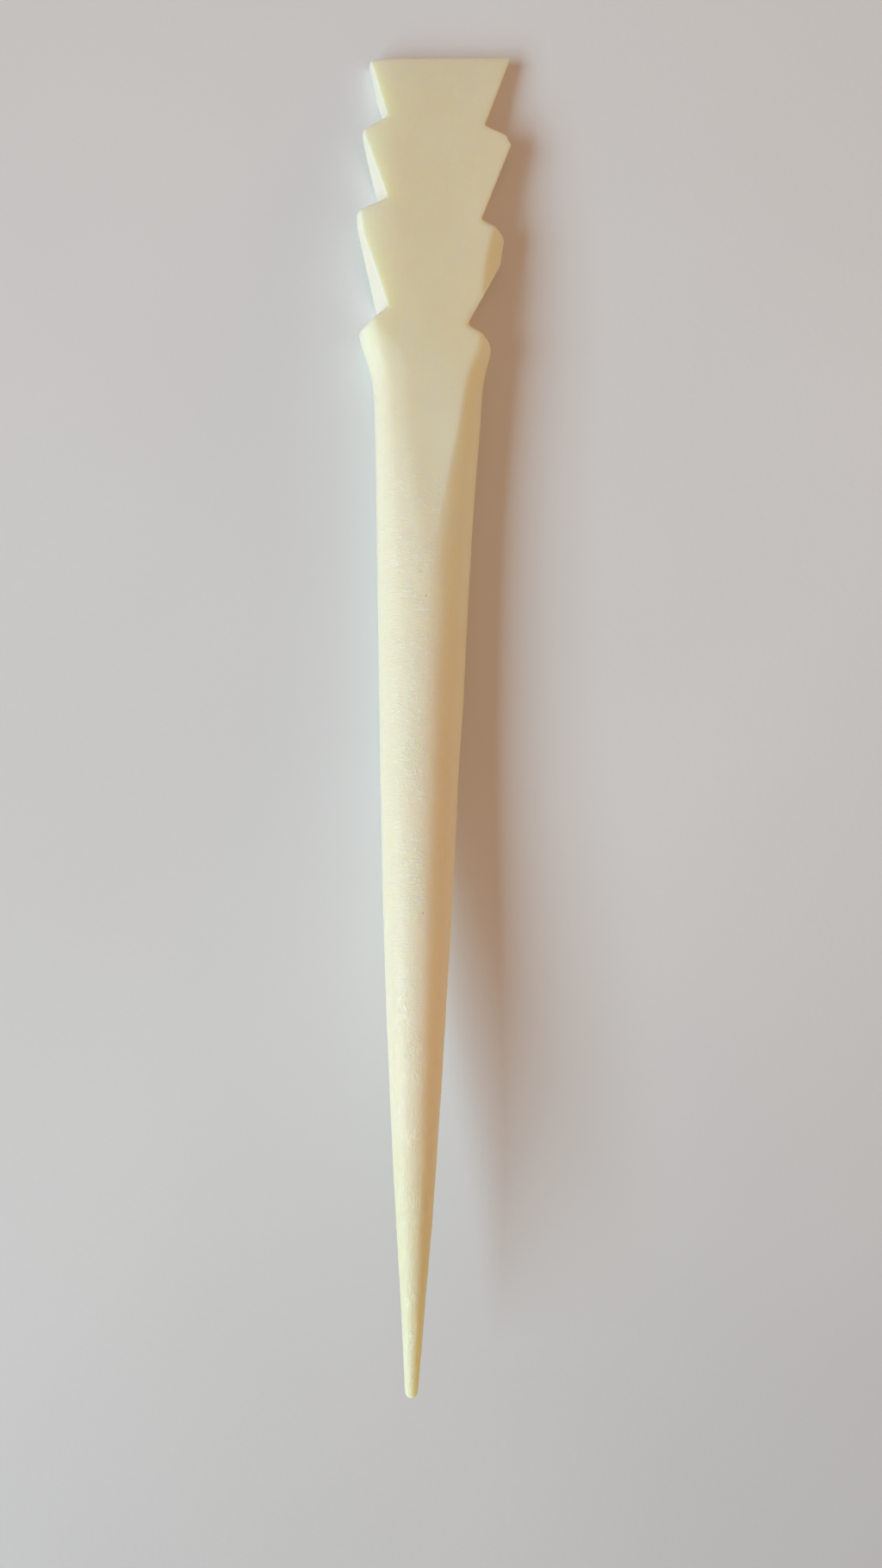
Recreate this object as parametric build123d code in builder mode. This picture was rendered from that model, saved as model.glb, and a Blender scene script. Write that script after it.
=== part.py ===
from build123d import *
import os
from math import asin, cos, degrees, radians, sin, sqrt

# Bone folder, carved from one piece of long bone.
# Frame: Y runs along the tool, head end at +Y and blade tip at -Y; Z is up; X is across.
# The tool lies on Z = 0 on the flat back of its head and on the belly of its blade.
# "station" is the distance from the head end, measured towards the tip.

# ---- Driving dimensions, millimetres and degrees ----
length = 150.0

# The carved blank before the head is cut.
# One row per station: station, centre in X, centre in Z, half width, half thickness,
# fullness (how much squarer than the oval the blank is there), and the height of its left
# side as fractions of the half thickness, half way out and four fifths of the way out.
blank_rows = [
    (-2.0, -0.30, 2.75, 9.80, 4.00, 0.06, 0.88, 0.60),
    (6.0, -0.38, 2.95, 9.60, 3.92, 0.05, 0.88, 0.60),
    (14.0, -0.52, 3.15, 9.20, 3.78, 0.04, 0.88, 0.60),
    (22.0, -0.80, 3.24, 8.36, 3.74, 0.03, 0.86, 0.60),
    (29.0, -1.00, 3.38, 8.00, 3.95, 0.06, 0.78, 0.58),
    (34.4, -0.98, 3.50, 7.52, 4.20, 0.11, 0.66, 0.55),
    (38.0, -0.73, 3.62, 6.53, 3.95, 0.07, 0.70, 0.58),
    (42.0, -0.57, 3.70, 6.12, 3.80, 0.05, 0.78, 0.63),
    (48.0, -0.55, 3.69, 5.80, 3.80, 0.03, 0.85, 0.66),
    (57.0, -0.50, 3.66, 5.43, 3.83, 0.01, 0.86, 0.62),
    (68.0, -0.40, 3.78, 5.08, 3.82, 0.00, 0.84, 0.58),
    (80.0, -0.35, 4.35, 4.65, 3.50, 0.00, 0.84, 0.57),
    (98.0, -0.25, 5.75, 3.91, 3.00, 0.00, 0.84, 0.57),
    (115.0, -0.15, 7.75, 3.08, 2.45, 0.00, 0.84, 0.57),
    (130.0, -0.05, 9.65, 2.16, 1.75, 0.00, 0.84, 0.57),
    (142.0, 0.00, 10.85, 1.27, 1.08, 0.00, 0.84, 0.57),
    (151.0, 0.00, 11.55, 0.62, 0.58, 0.00, 0.84, 0.57),
]
tip_height = 11.48
nose_radius = 0.75
nose_angle = 55.0

# The rest of the oval, as fractions of the half width and half thickness, on either side
# of the two left points. Its crest stands a little to the right of the middle, and the right
# flank is the flatter one. The last number is the share of the fullness that a point takes.
right_points = [
    (1.00, -0.10, 0.0),
    (0.68, 0.60, 1.0),
    (0.16, 1.00, 0.0),
]
left_places = (-0.50, -0.80)
under_points = [
    (-1.00, -0.05, 0.0),
    (-0.74, -0.66, 1.0),
    (0.00, -1.00, 0.0),
    (0.74, -0.68, 1.0),
]

# The ground face on top of the head: a very shallow arc along the tool, thin at the head
# end and straight across, which rolls off a little beyond roll_start on the left.
end_thickness = 1.7
face_radius = 430.0
face_summit = 72.0
face_end = 64.0
roll_start = -5.0
roll_radius = 14.0
roll_angle = 35.0

# The zigzag of the head, one row per tier from the head end.
# Each row: station and reach of the shoulder, station and reach of the tip below it,
# station and reach of the notch root that ends the tier. Reach is measured from X = 0.
left_tiers = [
    ((2.2, 8.05), (2.2, 8.05), (9.1, 6.15)),
    ((10.7, 8.70), (11.3, 8.70), (18.8, 6.05)),
    ((20.5, 9.40), (20.8, 9.40), (31.4, 5.90)),
]
right_tiers = [
    ((0.0, 8.15), (0.0, 8.15), (8.9, 5.05)),
    ((9.7, 7.45), (10.9, 8.10), (20.3, 4.65)),
    ((21.8, 8.80), (21.8, 8.80), (32.6, 3.20)),
]
# The last shoulder, which runs out through the side of the blank.
left_last_shoulder = (35.0, 10.0)
right_last_shoulder = (36.3, 10.0)
root_radius = 0.3

# The notches are filed with a slight lean, about a line this high in the head.
notch_lean = 4.0
notch_height = 4.0

# Sizes of cutting tools only: larger than the tool that they cut.
beyond = 12.0


def along(station):
    """Y of a station."""
    return length / 2 - station


def face_angle(station):
    """Angle of a station about the centre of the face's arc, from the summit to the head."""
    return degrees(asin((face_summit - station) / face_radius))


def nose_point(angle):
    """Y and Z on the dome of the tip, by the angle from its apex."""
    back = nose_radius * (1 - cos(radians(angle)))
    return (along(length) + back, tip_height + nose_radius * sin(radians(angle)))


def zigzag(tiers, last_shoulder, side):
    """Corners of one edge of the head, from the head end down; side is +1 right, -1 left."""
    corners = []
    for shoulder, tip, root in tiers:
        corners.append(shoulder)
        if tip != shoulder:
            corners.append(tip)
        corners.append(root)
    corners.append(last_shoulder)
    corners.append((length + beyond, last_shoulder[1]))
    return [(side * reach, along(station)) for station, reach in corners]


# ---- The one carved piece ----
with BuildPart() as bone_folder:
    # Blank: ovals from the head end to the start of the tip, joined smoothly
    for station, centre_x, centre_z, half_width, half_thickness, fullness, *left in blank_rows:
        left_points = [(u, v, 0.0) for u, v in zip(left_places, left)]
        oval = []
        for u, v, share in right_points + left_points + under_points:
            push = 1 + fullness * share
            oval.append((centre_x + u * push * half_width, centre_z + v * push * half_thickness))
        with BuildSketch(Plane.XZ.offset(-along(station))):
            with BuildLine():
                Spline(*oval, periodic=True)
            make_face()
    loft()

    # Rounded tip: a small dome that opens into a cone, clear of the blade behind it
    with BuildSketch(Plane.YZ):
        with BuildLine():
            apex = nose_point(0)
            rim = nose_point(nose_angle)
            cone = (
                rim[0] + 2 * beyond * sin(radians(nose_angle)),
                rim[1] + 2 * beyond * cos(radians(nose_angle)),
            )
            ThreePointArc(apex, nose_point(nose_angle / 2), rim)
            Polyline(rim, cone, (along(-beyond), cone[1]), (along(-beyond), tip_height), apex)
        make_face()
    revolve(axis=Axis((0, 0, tip_height), (0, 1, 0)), mode=Mode.INTERSECT)

    # Ground face on top, which runs out on the blade: its section, turned about the centre
    # of its arc from the blade to beyond the head end
    face_centre = (0, along(face_summit), end_thickness - sqrt(face_radius**2 - face_summit**2))
    first_angle = radians(face_angle(face_end))
    face_plane = Plane(
        origin=face_centre,
        x_dir=(1, 0, 0),
        z_dir=(0, -cos(first_angle), sin(first_angle)),
    )
    with BuildSketch(face_plane):
        with BuildLine():
            Line((beyond, face_radius), (roll_start, face_radius))
            roll = JernArc((roll_start, face_radius), (-1, 0), roll_radius, roll_angle)
            over = face_radius + 2 * beyond
            Polyline(roll @ 1, ((roll @ 1).X, over), (beyond, over), (beyond, face_radius))
        make_face()
    revolve(
        axis=Axis(face_centre, (-1, 0, 0)),
        revolution_arc=face_angle(-beyond) - face_angle(face_end),
        mode=Mode.SUBTRACT,
    )

    # Zigzag edges, cut straight through with a slight lean
    lean_plane = Plane(
        origin=(0, 0, notch_height),
        x_dir=(cos(radians(notch_lean)), 0, -sin(radians(notch_lean))),
        z_dir=(sin(radians(notch_lean)), 0, cos(radians(notch_lean))),
    )
    left_edge = zigzag(left_tiers, left_last_shoulder, -1)
    right_edge = zigzag(right_tiers, right_last_shoulder, 1)
    with BuildSketch(lean_plane) as outline:
        with BuildLine():
            Polyline(*left_edge, *reversed(right_edge), close=True)
        make_face()
        roots = [
            outline.vertices().sort_by_distance(Vector(side * root[1], along(root[0]), 0))[0]
            for side, tiers in ((-1, left_tiers), (1, right_tiers))
            for shoulder, tip, root in tiers
        ]
        fillet(roots, radius=root_radius)
    extrude(amount=2 * beyond, both=True, mode=Mode.INTERSECT)

    # Flat back that the tool rests on
    split(bisect_by=Plane.XY, keep=Keep.TOP)

bone_folder.part.label = "bone_folder"
os.makedirs("parts", exist_ok=True)
export_step(bone_folder.part, "parts/bone_folder.step")
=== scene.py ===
import math
from itertools import product

import bpy
import numpy as np
from mathutils import Euler, Matrix, Vector


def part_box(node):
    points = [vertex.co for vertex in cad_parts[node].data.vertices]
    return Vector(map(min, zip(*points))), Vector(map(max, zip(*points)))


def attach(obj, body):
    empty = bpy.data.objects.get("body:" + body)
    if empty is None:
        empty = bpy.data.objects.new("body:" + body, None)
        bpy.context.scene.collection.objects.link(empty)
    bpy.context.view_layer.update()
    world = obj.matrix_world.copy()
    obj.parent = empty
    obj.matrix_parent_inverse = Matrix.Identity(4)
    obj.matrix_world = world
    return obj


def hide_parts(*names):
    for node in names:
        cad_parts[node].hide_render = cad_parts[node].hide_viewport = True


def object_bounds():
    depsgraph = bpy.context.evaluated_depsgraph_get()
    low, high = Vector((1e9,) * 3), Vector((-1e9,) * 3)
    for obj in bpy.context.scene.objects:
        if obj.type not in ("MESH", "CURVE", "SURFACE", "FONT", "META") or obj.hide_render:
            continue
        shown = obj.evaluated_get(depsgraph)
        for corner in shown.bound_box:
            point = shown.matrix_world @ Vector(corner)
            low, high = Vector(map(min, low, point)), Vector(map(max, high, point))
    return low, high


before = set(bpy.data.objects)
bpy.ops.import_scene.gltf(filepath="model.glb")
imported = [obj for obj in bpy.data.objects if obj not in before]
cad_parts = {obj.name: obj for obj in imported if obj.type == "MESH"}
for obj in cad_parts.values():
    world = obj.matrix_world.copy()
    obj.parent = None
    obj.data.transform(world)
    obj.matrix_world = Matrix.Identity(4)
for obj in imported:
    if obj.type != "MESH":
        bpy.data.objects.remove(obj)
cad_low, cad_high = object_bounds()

# Bone folder, carved from one piece of bone. Lengths in the mesh code are millimetres, and
# "station" is the distance from the head end. Blender's scene itself is in metres.
MM = 0.001
low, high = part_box("bone_folder")
centre = (low + high) / 2
length = (high.y - low.y) / MM

# ---- The carved shape ----
VOXEL = 0.125
MOST_TRIANGLES = 190000

# Where the tool changes along its length, as stations
HEAD_CRISP = 20.0
HEAD_SOFT = 30.0
FLAT_START = 36.0
BLADE_FULL = 66.0
TIP_START = 118.0

# How many rounds of smoothing each kind of edge gets
CUT_ROUNDS = 5
GRIP_ROUNDS = 10
RUN_OUT_ROUNDS = 60
BEVEL_ROUNDS = 30

# Knife work, one row per layer, coarse to fine: depth, size of its features along X, Y and Z,
# seed, share of it that the head gets, and share of it that the tip loses
WAVES = (
    (0.065, (5.0, 9.0, 5.0), 3, 0.35, 0.55),
    (0.030, (2.4, 3.2, 2.4), 7, 0.25, 0.40),
    (0.010, (1.1, 1.3, 1.1), 9, 0.0, 0.0),
)

# Scraper strokes: their length, width and depth, the width and depth of the single lines
# among them, and where each direction starts and stops, as its angle from X, and its seed
STROKE_LONG = 2.4
STROKE_WIDE = 0.42
STROKE_DEEP = 0.012
LINE_WIDE = 0.14
LINE_DEEP = 0.006
SCRAPED = (
    ((36.0, 52.0), (80.0, 100.0), 20.0, 13),
    ((66.0, 88.0), (108.0, 128.0), 46.0, 23),
    ((84.0, 102.0), (116.0, 138.0), 68.0, 33),
    ((104.0, 120.0), (170.0, 180.0), 82.0, 43),
)


def ramp(value, start, end):
    """0 before start, 1 after end, and smooth in between."""
    t = np.clip((value - start) / (end - start), 0, 1)
    return t * t * (3 - 2 * t)


def field(points, size, seed):
    """Smooth random values from -1 to 1, whose features have that size along X, Y and Z."""
    side = 48
    lattice = np.random.default_rng(seed).uniform(-1, 1, (side, side, side))
    scaled = points / np.array(size)
    cell = np.floor(scaled).astype(int)
    t = scaled - cell
    t = t * t * (3 - 2 * t)
    total = np.zeros(len(points))
    for corner in product((0, 1), repeat=3):
        share = np.prod(np.where(corner, t, 1 - t), axis=1)
        index = (cell + corner) % side
        total += share * lattice[index[:, 0], index[:, 1], index[:, 2]]
    return total


def even_mesh():
    """The CAD mesh with even, fine faces, in millimetres."""
    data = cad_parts["bone_folder"].data.copy()
    data.transform(Matrix.Scale(1 / MM, 4))
    piece = bpy.data.objects.new("carving", data)
    bpy.context.scene.collection.objects.link(piece)
    remesh = piece.modifiers.new("even", "REMESH")
    remesh.mode = "VOXEL"
    remesh.voxel_size = VOXEL
    return apply_modifiers(piece)


def apply_modifiers(piece):
    """Bakes the piece's modifiers into its mesh."""
    shaped = piece.evaluated_get(bpy.context.evaluated_depsgraph_get())
    data = bpy.data.meshes.new_from_object(shaped)
    piece.modifiers.clear()
    piece.data = data
    return piece


def read_points(data):
    points = np.zeros(len(data.vertices) * 3)
    data.vertices.foreach_get("co", points)
    return points.reshape(-1, 3)


def write_points(data, points):
    data.vertices.foreach_set("co", points.ravel())
    data.update()


def read_normals(data):
    normals = np.zeros(len(data.vertices) * 3)
    data.vertex_normals.foreach_get("vector", normals)
    return normals.reshape(-1, 3)


def relax(points, edges, rounds, share):
    """Moves each point towards the middle of its neighbours, by its own share, some rounds."""
    count = len(points)
    first, second = edges[:, 0], edges[:, 1]
    degree = np.bincount(edges.ravel(), minlength=count)
    for _ in range(rounds):
        middle = np.empty_like(points)
        for axis in range(3):
            value = points[:, axis]
            middle[:, axis] = np.bincount(first, value[second], count)
            middle[:, axis] += np.bincount(second, value[first], count)
        middle /= degree[:, None]
        points = points + share[:, None] * (middle - points)
    return points


def strokes(points, turn, seed):
    """Random strokes that lie at an angle, turn, from the X axis."""
    angle = math.radians(turn)
    x, y, z = points.T
    swing = 0.8 * field(points, (6.0, 9.0, 6.0), seed + 50)
    along = x * math.cos(angle) + y * math.sin(angle)
    across = y * math.cos(angle) - x * math.sin(angle) + swing
    height = z * (1.0 if turn < 45 else STROKE_LONG / STROKE_WIDE)
    turned = np.column_stack((along, across, height))
    return field(turned, (STROKE_LONG, STROKE_WIDE, STROKE_LONG), seed)


def carve(piece):
    """Softens the edges and adds the knife, scraper and file marks of hand work."""
    data = piece.data
    points = read_points(data)
    edges = np.zeros(len(data.edges) * 2, int)
    data.edges.foreach_get("vertices", edges)
    edges = edges.reshape(-1, 2)
    station = high.y / MM - points[:, 1]

    # Edges: crisp on the first tiers, more rounded where the hand holds the tool
    everywhere = np.full(len(points), 0.5)
    points = relax(points, edges, CUT_ROUNDS, everywhere)
    softer = 0.5 * ramp(station, HEAD_CRISP, HEAD_SOFT)
    points = relax(points, edges, GRIP_ROUNDS, softer)

    # The ground face runs out softly on the left of the blade
    left = ramp(-points[:, 0], 0.3, 1.1)
    fading = ramp(station, 34.0, 44.0) * (1 - ramp(station, 66.0, 76.0))
    upper = ramp(points[:, 2], 3.5, 5.5)
    points = relax(points, edges, RUN_OUT_ROUNDS, 0.5 * left * fading * upper)
    write_points(data, points)

    # Its edge is worn soft on the right of the third tier and of the last shoulder
    facing_up = ramp(read_normals(data)[:, 2], 0.40, 0.60)
    right = ramp(points[:, 0], 2.0, 3.5)
    tiers = ramp(station, 19.0, 21.0) * (1 - ramp(station, 40.0, 48.0))
    points = relax(points, edges, BEVEL_ROUNDS, 0.5 * facing_up * right * tiers)
    write_points(data, points)

    normals = read_normals(data)
    blade = ramp(station, FLAT_START, BLADE_FULL)
    tip = ramp(station, TIP_START, length)
    top = ramp(normals[:, 2], -0.2, 0.4)

    # Slow waves and small facets left by the knife
    depth = np.zeros(len(points))
    for deep, size, seed, head_share, tip_loss in WAVES:
        strength = (head_share + (1 - head_share) * blade) * (1 - tip_loss * tip)
        depth += deep * field(points, size, seed) * strength

    # Scraper marks: across the middle of the tool, turning lengthwise towards the tip
    patches = ramp(field(points, (3.0, 6.0, 3.0), 17), -0.5, 0.3)
    for first, last, turn, seed in SCRAPED:
        here = ramp(station, *first) * (1 - ramp(station, *last))
        marks = strokes(points, turn, seed)
        lines = np.exp(-((strokes(points, turn + 9, seed + 1) / LINE_WIDE) ** 2))
        scraped = STROKE_DEEP * marks * (0.3 + 0.7 * patches) + LINE_DEEP * lines * patches
        depth += scraped * here * top
    points = points + normals * depth[:, None]

    # Nothing stands proud of the CAD box, and the back stays flat where it rests
    corner = [np.array(cad_low) / MM, np.array(cad_high) / MM]
    points = np.clip(points, *corner)
    write_points(data, points)
    return piece


def lighten(piece):
    """Merges faces where the surface is plain."""
    triangles = 2 * len(piece.data.polygons)
    if triangles > MOST_TRIANGLES:
        decimate = piece.modifiers.new("lighter", "DECIMATE")
        decimate.ratio = MOST_TRIANGLES / triangles
        decimate.use_collapse_triangulate = True
        apply_modifiers(piece)
    return piece


def mark_cuts(piece):
    """An attribute that is 1 on the steep filed walls of the head."""
    data = piece.data
    points = read_points(data)
    normals = read_normals(data)
    station = high.y / MM - points[:, 1]
    steep = 1 - ramp(np.abs(normals[:, 2]), 0.18, 0.5)
    cut = steep * (1 - ramp(station, 33.5, 36.0))
    layer = data.attributes.new("cut_wall", "FLOAT", "POINT")
    layer.data.foreach_set("value", cut.astype(np.float32))


# ---- Materials ----
class Graph:
    """A short way to place and join shader nodes."""

    def __init__(self, name):
        self.material = bpy.data.materials.new(name)
        self.material.use_nodes = True
        self.nodes = self.material.node_tree.nodes
        self.links = self.material.node_tree.links
        self.shader = self.nodes["Principled BSDF"]

    def node(self, kind, **settings):
        made = self.nodes.new("ShaderNode" + kind)
        for key, value in settings.items():
            setattr(made, key, value)
        return made

    def join(self, source, target):
        self.links.new(source, target)

    def scaled(self, scale, turn=(0, 0, 0)):
        """Object coordinates in millimetres, stretched by scale and turned."""
        place = self.node("TexCoord")
        mapping = self.node("Mapping")
        mapping.inputs["Scale"].default_value = [factor / MM for factor in scale]
        mapping.inputs["Rotation"].default_value = turn
        self.join(place.outputs["Object"], mapping.inputs["Vector"])
        return mapping.outputs["Vector"]

    def noise(self, scale, detail=2.0, roughness=0.5, distortion=0.0, turn=(0, 0, 0)):
        made = self.node("TexNoise")
        made.inputs["Scale"].default_value = 1.0
        made.inputs["Detail"].default_value = detail
        made.inputs["Roughness"].default_value = roughness
        made.inputs["Distortion"].default_value = distortion
        self.join(self.scaled(scale, turn), made.inputs["Vector"])
        return made.outputs["Fac"]

    def steps(self, value, *stops):
        """A colour ramp: stops are (place, (red, green, blue))."""
        made = self.node("ValToRGB")
        band = made.color_ramp.elements
        while len(band) < len(stops):
            band.new(0.5)
        for element, (place, colour) in zip(band, stops):
            element.position = place
            element.color = (*colour, 1)
        self.join(value, made.inputs["Fac"])
        return made.outputs["Color"]

    def span(self, value, start, end, low_value, high_value):
        """value from start to end becomes low_value to high_value."""
        made = self.node("MapRange")
        made.inputs["From Min"].default_value = start
        made.inputs["From Max"].default_value = end
        made.inputs["To Min"].default_value = low_value
        made.inputs["To Max"].default_value = high_value
        self.join(value, made.inputs["Value"])
        return made.outputs["Result"]

    def blend(self, factor, first, second, mode="MIX"):
        """Mixes two colours; each is a socket or a colour."""
        made = self.node("Mix", data_type="RGBA", blend_type=mode)
        self.feed(factor, made.inputs["Factor"])
        self.feed(first, made.inputs[6])
        self.feed(second, made.inputs[7])
        return made.outputs[2]

    def maths(self, operation, first, second=0.0):
        made = self.node("Math", operation=operation)
        self.feed(first, made.inputs[0])
        self.feed(second, made.inputs[1])
        return made.outputs["Value"]

    def feed(self, source, target):
        if isinstance(source, bpy.types.NodeSocket):
            self.join(source, target)
        elif isinstance(source, tuple):
            target.default_value = (*source, 1)
        else:
            target.default_value = source

    def scratch(self, scale, turn):
        """Thin broken lines: where two fields of noise both pass through their middle."""
        lines = self.noise(scale, detail=1.0, distortion=0.8, turn=(0, 0, math.radians(turn)))
        away = self.maths("ABSOLUTE", self.maths("SUBTRACT", lines, 0.5))
        thin = self.span(away, 0.022, 0.070, 1.0, 0.0)
        breaks = self.noise((0.9, 0.7, 0.9), detail=2.0, turn=(0, 0, math.radians(turn + 40)))
        return self.maths("MULTIPLY", thin, self.span(breaks, 0.46, 0.56, 0.0, 1.0))

    def glint_band(self):
        """Painted highlight mask: 1 along the left of the ridge, where the surface starts to
        turn to the left towards the light, so that the pale scratch lines show there as painted
        glints.
        """
        place = self.node("TexCoord")
        parts = self.node("SeparateXYZ")
        self.join(place.outputs["Normal"], parts.inputs["Vector"])
        rising = self.span(parts.outputs["X"], -0.80, -0.35, 0.12, 1.0)
        falling = self.span(parts.outputs["X"], -0.05, 0.30, 1.0, 0.0)
        return self.maths("MULTIPLY", rising, falling)

    def past(self, start, end, lean=0.0):
        """0 before the station start, 1 after end; lean brings it forward on the left."""
        place = self.node("TexCoord")
        parts = self.node("SeparateXYZ")
        self.join(place.outputs["Object"], parts.inputs["Vector"])
        made = self.node("MapRange", interpolation_type="SMOOTHSTEP")
        made.inputs["From Min"].default_value = high.y - start * MM
        made.inputs["From Max"].default_value = high.y - end * MM
        leaning = self.maths("MULTIPLY", parts.outputs["X"], lean)
        self.join(self.maths("ADD", parts.outputs["Y"], leaning), made.inputs["Value"])
        return made.outputs["Result"]

    def bump(self, height, strength, distance, normal=None):
        made = self.node("Bump")
        self.feed(strength, made.inputs["Strength"])
        made.inputs["Distance"].default_value = distance
        self.join(height, made.inputs["Height"])
        if normal is not None:
            self.join(normal, made.inputs["Normal"])
        return made.outputs["Normal"]


def bone_material():
    """Dry polished bone: cream, translucent, with fine scraping marks, pale scratch lines that
    are partly painted glints, and a few dark pores.
    """
    g = Graph("carved_bone")
    shader = g.shader
    on_blade = g.maths("MULTIPLY", g.past(44.0, 76.0, lean=5.0), g.past(32.0, 40.0))
    on_tip = g.past(104.0, 142.0)

    # Colour: slow clouds of cream on the head, whiter on the blade, darker and yellower at the
    # tip, partly as painted shade
    clouds = g.noise((0.09, 0.05, 0.09), detail=3.0)
    tone = g.steps(
        clouds,
        (0.30, (0.900, 0.830, 0.575)),
        (0.52, (0.925, 0.868, 0.632)),
        (0.72, (0.940, 0.895, 0.690)),
    )
    # The blade's own tone, less green than the head's; it is tuned to match, not a mark of wear
    blade_tone = g.steps(
        clouds,
        (0.30, (0.930, 0.806, 0.600)),
        (0.52, (0.935, 0.814, 0.615)),
        (0.72, (0.940, 0.823, 0.635)),
    )
    tone = g.blend(on_blade, tone, blade_tone)
    # Painted shade in part: the tip's darker, yellower colour also stands in for the shade on
    # the thin tip
    tone = g.blend(on_tip, tone, (0.805, 0.738, 0.490))

    # Fine fibres along the tool, paler and darker, clearest at the tip
    fibres = g.noise((3.2, 0.35, 3.2), detail=3.0, roughness=0.6)
    fibrous = g.span(g.past(60.0, 130.0), 0.0, 1.0, 0.25, 1.0)
    pale = g.span(fibres, 0.45, 0.75, 0.0, 0.30)
    tone = g.blend(g.maths("MULTIPLY", pale, fibrous), tone, (0.96, 0.91, 0.80))
    dark = g.span(fibres, 0.25, 0.45, 0.22, 0.0)
    tone = g.blend(g.maths("MULTIPLY", dark, fibrous), tone, (0.84, 0.72, 0.48))

    # The steep filed walls of the head get a colour of their own, less green than the face
    cut = g.node("Attribute", attribute_name="cut_wall").outputs["Fac"]
    tone = g.blend(g.maths("MULTIPLY", cut, 0.8), tone, (0.92, 0.765, 0.63))

    # Short pale scratches on the blade: broken lines that turn lengthwise towards the tip. They
    # are partly scratches and partly painted glints, kept to the left of the ridge where the
    # light catches them.
    slanting = g.scratch((0.90, 2.4, 0.90), -26)
    steep = g.scratch((2.2, 1.1, 2.2), 24)
    fine = g.scratch((2.9, 0.7, 2.9), -9)
    scratches_and_glints = g.maths("MULTIPLY", slanting, g.span(g.past(92.0, 116.0), 0.0, 1.0, 1.0, 0.0))
    scratches_and_glints = g.maths("MAXIMUM", scratches_and_glints, g.maths("MULTIPLY", steep, g.past(66.0, 80.0)))
    scratches_and_glints = g.maths("MAXIMUM", scratches_and_glints, g.maths("MULTIPLY", fine, g.past(100.0, 122.0)))
    scratches_and_glints = g.maths("MULTIPLY", scratches_and_glints, g.past(44.0, 58.0))
    patches = g.span(g.noise((0.24, 0.20, 0.24), detail=1.0), 0.38, 0.56, 0.15, 1.0)
    # Painted highlight: only the band left of the ridge, which faces the light, keeps the
    # scratches
    scratches_and_glints = g.maths("MULTIPLY", scratches_and_glints, g.maths("MULTIPLY", patches, g.glint_band()))
    # The pale colour of these marks is partly a painted glint
    tone = g.blend(g.maths("MULTIPLY", scratches_and_glints, 0.85), tone, (0.995, 0.914, 0.742))

    # A few tiny dark pores on the blade
    pores = g.node("TexVoronoi")
    pores.inputs["Scale"].default_value = 1.0
    g.join(g.scaled((0.52, 0.24, 0.52)), pores.inputs["Vector"])
    near = g.span(pores.outputs["Distance"], 0.020, 0.038, 1.0, 0.0)
    picked = g.node("SeparateColor")
    g.join(pores.outputs["Color"], picked.inputs["Color"])
    rare = g.maths("GREATER_THAN", picked.outputs["Red"], 0.62)
    pore = g.maths("MULTIPLY", g.maths("MULTIPLY", near, rare), g.past(50.0, 54.0))
    tone = g.blend(g.maths("MULTIPLY", pore, 0.75), tone, (0.36, 0.27, 0.17))
    g.join(tone, shader.inputs["Base Color"])

    # Gloss: satin, a little brighter along the scratches
    gloss = g.noise((0.8, 0.5, 0.8), detail=3.0)
    rough = g.span(gloss, 0.3, 0.7, 0.33, 0.45)
    rough = g.maths("ADD", rough, g.maths("MULTIPLY", cut, 0.18))
    rough = g.maths("ADD", rough, g.maths("MULTIPLY", on_tip, 0.16))
    rough = g.maths("SUBTRACT", rough, g.maths("MULTIPLY", scratches_and_glints, 0.16))
    g.join(rough, shader.inputs["Roughness"])
    shader.inputs["IOR"].default_value = 1.54

    # Depth: light spreads in the bone, red furthest
    shader.inputs["Subsurface Weight"].default_value = 0.80
    shader.inputs["Subsurface Radius"].default_value = (1.0, 0.92, 0.36)
    shader.inputs["Subsurface Scale"].default_value = 0.0024
    shader.subsurface_method = "RANDOM_WALK"

    # Relief: scraping across the blade, fibres along the tip, grain and pores
    slant = (0, 0, math.radians(-24))
    across = g.noise((0.9, 2.6, 0.9), detail=4.0, roughness=0.6, distortion=1.2, turn=slant)
    slant = (0, 0, math.radians(-10))
    lengthwise = g.noise((3.4, 0.6, 3.4), detail=3.0, roughness=0.6, distortion=0.4, turn=slant)
    scraped = g.node("Mix", data_type="FLOAT")
    g.join(g.past(96.0, 124.0), scraped.inputs["Factor"])
    g.join(across, scraped.inputs[2])
    g.join(lengthwise, scraped.inputs[3])
    relief = g.bump(scraped.outputs[0], g.span(on_blade, 0.0, 1.0, 0.10, 0.40), 0.00012)
    relief = g.bump(scratches_and_glints, 0.7, 0.00006, relief)
    relief = g.bump(g.maths("MULTIPLY", pore, -1.0), 0.6, 0.00005, relief)
    g.join(relief, shader.inputs["Normal"])
    return g.material


def paper_material():
    """The plain pale sheet that the tool lies on."""
    g = Graph("pale_paper")
    mottling = g.noise((0.02, 0.02, 0.02), detail=2.0)
    tone = g.steps(mottling, (0.3, (0.81, 0.81, 0.82)), (0.7, (0.84, 0.84, 0.85)))

    # Painted shade: the sheet is darkened towards the near right corner, where less light falls
    # on it
    place = g.node("TexCoord")
    turned = g.node("Mapping")
    turned.inputs["Rotation"].default_value = (0, 0, math.radians(52))
    parts = g.node("SeparateXYZ")
    g.join(place.outputs["Object"], turned.inputs["Vector"])
    g.join(turned.outputs["Vector"], parts.inputs["Vector"])
    painted_falloff = g.span(parts.outputs["X"], 0.02, 0.12, 0.0, 0.22)
    # Painted shade: the sheet's colour is mixed towards black there
    tone = g.blend(painted_falloff, tone, (0.02, 0.02, 0.02))
    g.join(tone, g.shader.inputs["Base Color"])
    g.shader.inputs["Roughness"].default_value = 0.85
    tooth = g.noise((1.1, 1.1, 1.1), detail=4.0)
    g.join(g.bump(tooth, 0.18, 0.00008), g.shader.inputs["Normal"])
    return g.material


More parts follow.
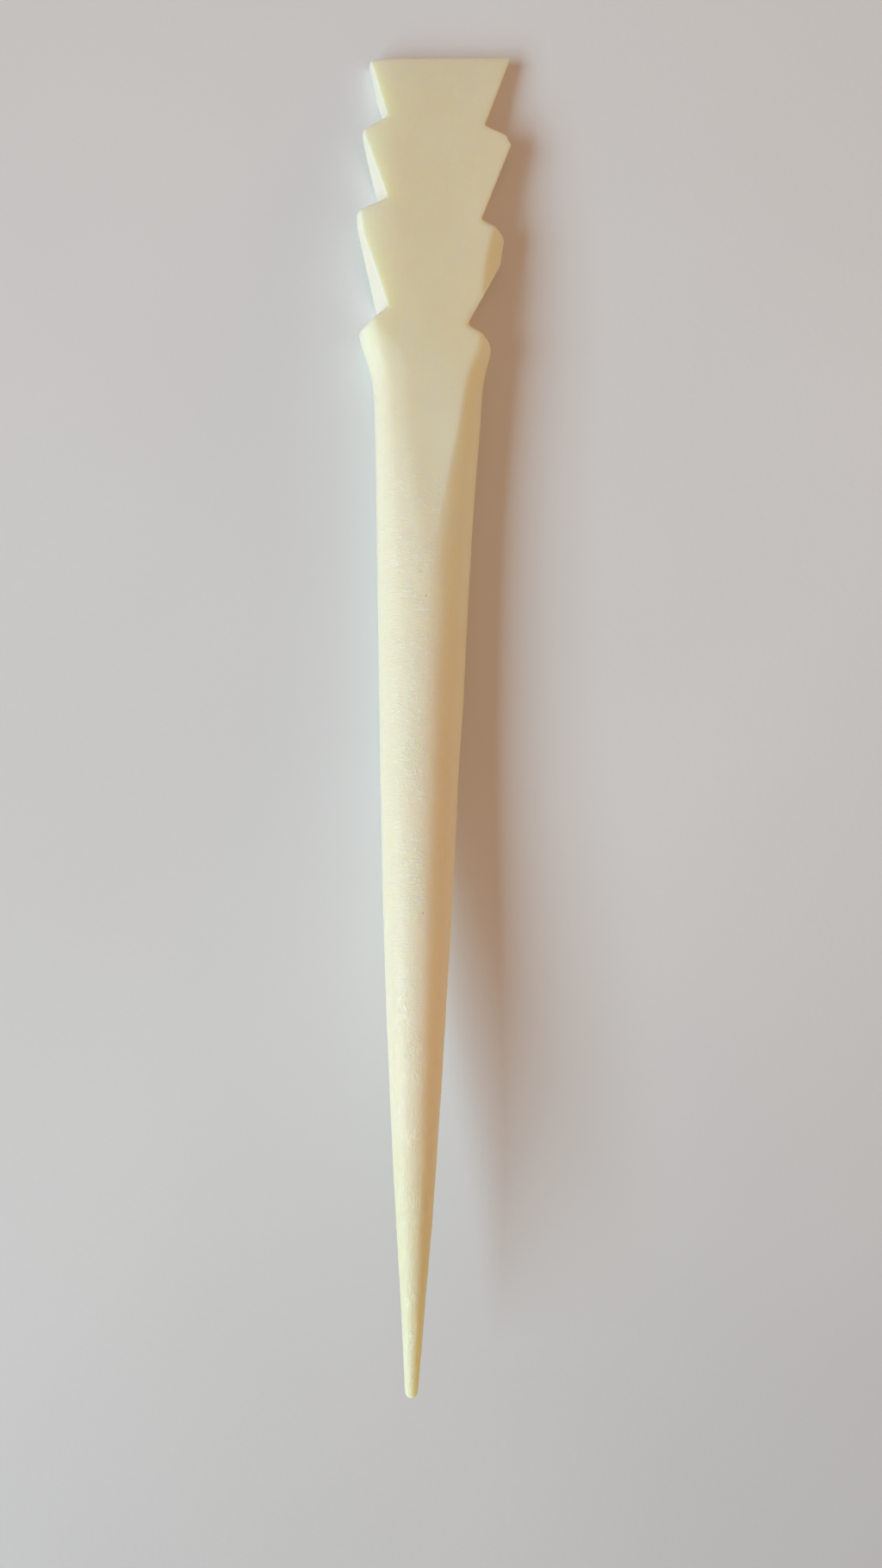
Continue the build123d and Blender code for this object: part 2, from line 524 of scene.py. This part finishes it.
# ---- Stage ----
def make_floor():
    half = 1.6
    data = bpy.data.meshes.new("floor")
    z = low.z
    corners = [(-half, -half, z), (half, -half, z), (half, half, z), (-half, half, z)]
    data.from_pydata(corners, [], [(0, 1, 2, 3)])
    floor = bpy.data.objects.new("floor", data)
    bpy.context.scene.collection.objects.link(floor)
    floor.data.materials.append(paper_material())


def make_light(name, spot, facing, size, power, colour):
    """A soft rectangular light at spot, measured from the tool, that shines along facing."""
    data = bpy.data.lights.new(name, "AREA")
    data.shape = "RECTANGLE"
    data.size, data.size_y = size
    data.energy = power
    data.color = colour
    light = bpy.data.objects.new(name, data)
    light.location = centre + Vector(spot)
    light.rotation_mode = "QUATERNION"
    light.rotation_quaternion = (-Vector(facing)).to_track_quat("Z", "Y")
    bpy.context.scene.collection.objects.link(light)


def light_scene():
    """A broad cool window on the left, low and towards the tip, and a warm room around."""
    make_light(
        "window",
        spot=(-1.0, -0.86, 0.71),
        facing=(1, 0, 0),
        size=(1.60, 0.68),
        power=31.0,
        colour=(0.545, 0.840, 1.0),
    )
    make_light(
        "warm_wall",
        spot=(1.0, 0.0, 0.22),
        facing=(-1, 0, 0),
        size=(1.6, 0.5),
        power=1.6,
        colour=(1.0, 0.78, 0.30),
    )
    world = bpy.data.worlds.new("room")
    world.use_nodes = True
    background = world.node_tree.nodes["Background"]
    background.inputs["Color"].default_value = (0.413, 0.258, 0.172, 1)
    background.inputs["Strength"].default_value = 1.0
    bpy.context.scene.world = world
    bpy.context.scene.view_settings.view_transform = "Standard"


def make_camera():
    """Above the blade and a little to its left, tilted towards the tool."""
    data = bpy.data.cameras.new("camera")
    data.sensor_width = 36.0
    data.lens = 27.04
    data.clip_start = 0.01
    data.clip_end = 20.0
    camera = bpy.data.objects.new("camera", data)
    camera.location = (centre.x - 0.01585, centre.y - 0.0077, low.z + 0.1363)
    tilt = [math.radians(angle) for angle in (-0.838, -7.994, 1.822)]
    camera.rotation_euler = Euler(tilt, "XYZ")
    bpy.context.scene.collection.objects.link(camera)
    bpy.context.scene.camera = camera


# ---- Build ----
def make_bone():
    piece = lighten(carve(even_mesh()))
    mark_cuts(piece)
    piece.data.transform(Matrix.Scale(MM, 4))
    piece.name = "carved_bone"
    piece.data.name = "carved_bone"
    piece.data.materials.clear()
    piece.data.materials.append(bone_material())
    for face in piece.data.polygons:
        face.use_smooth = True
    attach(piece, "root")
    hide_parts("bone_folder")
    print("carved_bone", len(piece.data.vertices), "points", len(piece.data.polygons), "faces")


make_bone()
make_floor()
light_scene()
make_camera()
